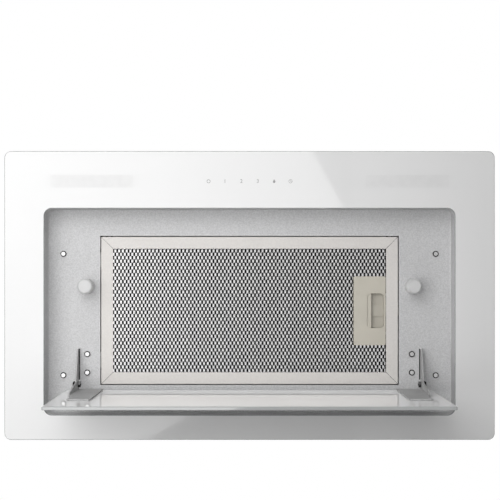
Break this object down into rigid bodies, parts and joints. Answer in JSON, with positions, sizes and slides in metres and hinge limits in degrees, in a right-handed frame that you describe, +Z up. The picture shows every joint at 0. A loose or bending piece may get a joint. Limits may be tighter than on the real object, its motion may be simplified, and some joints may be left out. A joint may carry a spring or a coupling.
{
  "type": "built-in range hood",
  "caption": "Built-in kitchen range hood: white glass face, recessed grease filter, hinged suction panel, touch controls, blower casing and duct collar.",
  "frame": {"origin": "centre of the four cabinet screws, on the seat plane (the top of the recess floor, held up against the cabinet board)", "axes": "+Z up through the duct collar, +X to the right along the face plate's length, -Y toward the cook (the strip with lights and touch keys)"},
  "size_m": [0.598, 0.352, 0.4495],
  "materials": {
    "white_glass": "white back-painted glass, polished",
    "panel_white_glass": "white glass, polished, bevelled edge",
    "frame_steel": "satin grey paint",
    "tray_grey": "fine textured light grey powder coat",
    "diffuser": "opal translucent",
    "lamp_housing": "white matte",
    "circuit_board": "green solder mask",
    "pad_foam": "conductive black foam",
    "black_plastic": "black, fine grain",
    "bright_screw": "bright zinc plate",
    "filter_frame": "warm satin anodised",
    "filter_mesh": "bright expanded metal",
    "mesh_pack": "open layers of expanded aluminium, about 300 kg per cubic metre",
    "handle_beige": "greenish beige, satin",
    "spring_steel": "bright wire",
    "hinge_steel": "satin zinc plate",
    "dark_nut": "black oxide",
    "black_foam": "closed-cell black foam",
    "bond_tape": "white foam tape",
    "post_plastic": "light grey, satin",
    "magnet": "nickel plate",
    "galvanised": "galvanised sheet",
    "collar_plastic": "black, fine grain",
    "flap_plastic": "grey, fine grain",
    "impeller_plastic": "dark grey",
    "motor_case": "grey paint",
    "stator_iron": "laminations and copper",
    "rotor_iron": "ground steel",
    "bearing_steel": "ground steel",
    "mount_rubber": "black rubber",
    "box_plastic": "off-white",
    "capacitor_can": "bare can"
  },
  "bodies": {
    "hood": {"face_glass": "white_glass", "face_backing_frame": "frame_steel", "recess_tray": "tray_grey", "light_diffuser_right": "diffuser", "light_diffuser_left": "diffuser", "light_housing_right": "lamp_housing", "light_housing_left": "lamp_housing", "led_boards": "circuit_board", "touch_board": "circuit_board", "touch_pads": "pad_foam", "control_housing": "black_plastic", "cabinet_screws": "bright_screw", "hinge_screws": "bright_screw", "hinge_plate_right": "hinge_steel", "hinge_plate_left": "hinge_steel", "slot_seals": "black_foam", "pivot_screws": "bright_screw", "pivot_nuts": "dark_nut", "catch_posts": "post_plastic", "catch_magnets": "magnet", "post_screws": "bright_screw", "body_shell": "galvanised", "body_side_right": "galvanised", "body_side_left": "galvanised", "flange_nuts": "bright_screw", "casing_screws": "bright_screw", "duct_collar": "collar_plastic", "flap_pin": "spring_steel", "scroll_wrap": "galvanised", "scroll_side_right": "galvanised", "scroll_side_left": "galvanised", "motor_housing": "motor_case", "motor_stator": "stator_iron", "motor_bearings": "bearing_steel", "motor_bracket": "galvanised", "rubber_mounts": "mount_rubber", "electronics_box": "box_plastic", "control_board": "circuit_board", "capacitor": "capacitor_can", "led_driver": "lamp_housing", "cable_gland": "black_plastic"},
    "panel": {"panel_glass": "panel_white_glass", "hinge_leaf_left": "hinge_steel", "hinge_leaf_right": "hinge_steel", "leaf_bond_pads": "bond_tape"},
    "filter": {"filter_rail_front": "filter_frame", "filter_rail_rear": "filter_frame", "filter_rail_left": "filter_frame", "filter_rail_right": "filter_frame", "filter_lugs": "spring_steel", "filter_mesh_lower": "filter_mesh", "filter_core": "mesh_pack", "filter_mesh_upper": "filter_mesh", "filter_handle_plate": "handle_beige", "latch_spring": "spring_steel"},
    "latch": {"filter_latch": "handle_beige"},
    "impeller": {"impeller": "impeller_plastic", "motor_rotor": "rotor_iron"},
    "flap_left": {"flap_left": "flap_plastic"},
    "flap_right": {"flap_right": "flap_plastic"}
  },
  "joints": [
    {"name": "panel_hinge", "type": "hinge", "parent": "hood", "child": "panel", "pos_m": [0, 0.0852, -0.022], "axis": [-1, 0, 0], "range_deg": [0, 90]},
    {"name": "filter_swing", "type": "hinge", "parent": "hood", "child": "filter", "pos_m": [-0.1858, -0.005, 0.00015], "axis": [0, -1, 0], "range_deg": [-60, 0]},
    {"name": "latch_slide", "type": "slide", "parent": "filter", "child": "latch", "axis": [-1, 0, 0], "range_m": [0, 0.0063], "stiffness_N_per_m": 250, "springref_m": -0.004, "deforming": ["latch_spring"]},
    {"name": "impeller_spin", "type": "hinge", "parent": "hood", "child": "impeller", "pos_m": [0, 0.012, 0.09], "axis": [1, 0, 0], "continuous": true},
    {"name": "flap_left_swing", "type": "hinge", "parent": "hood", "child": "flap_left", "pos_m": [0, -0.005, 0.204], "axis": [0, 1, 0], "range_deg": [0, 78]},
    {"name": "flap_right_swing", "type": "hinge", "parent": "hood", "child": "flap_right", "pos_m": [0, -0.005, 0.204], "axis": [0, -1, 0], "range_deg": [0, 78]}
  ]
}
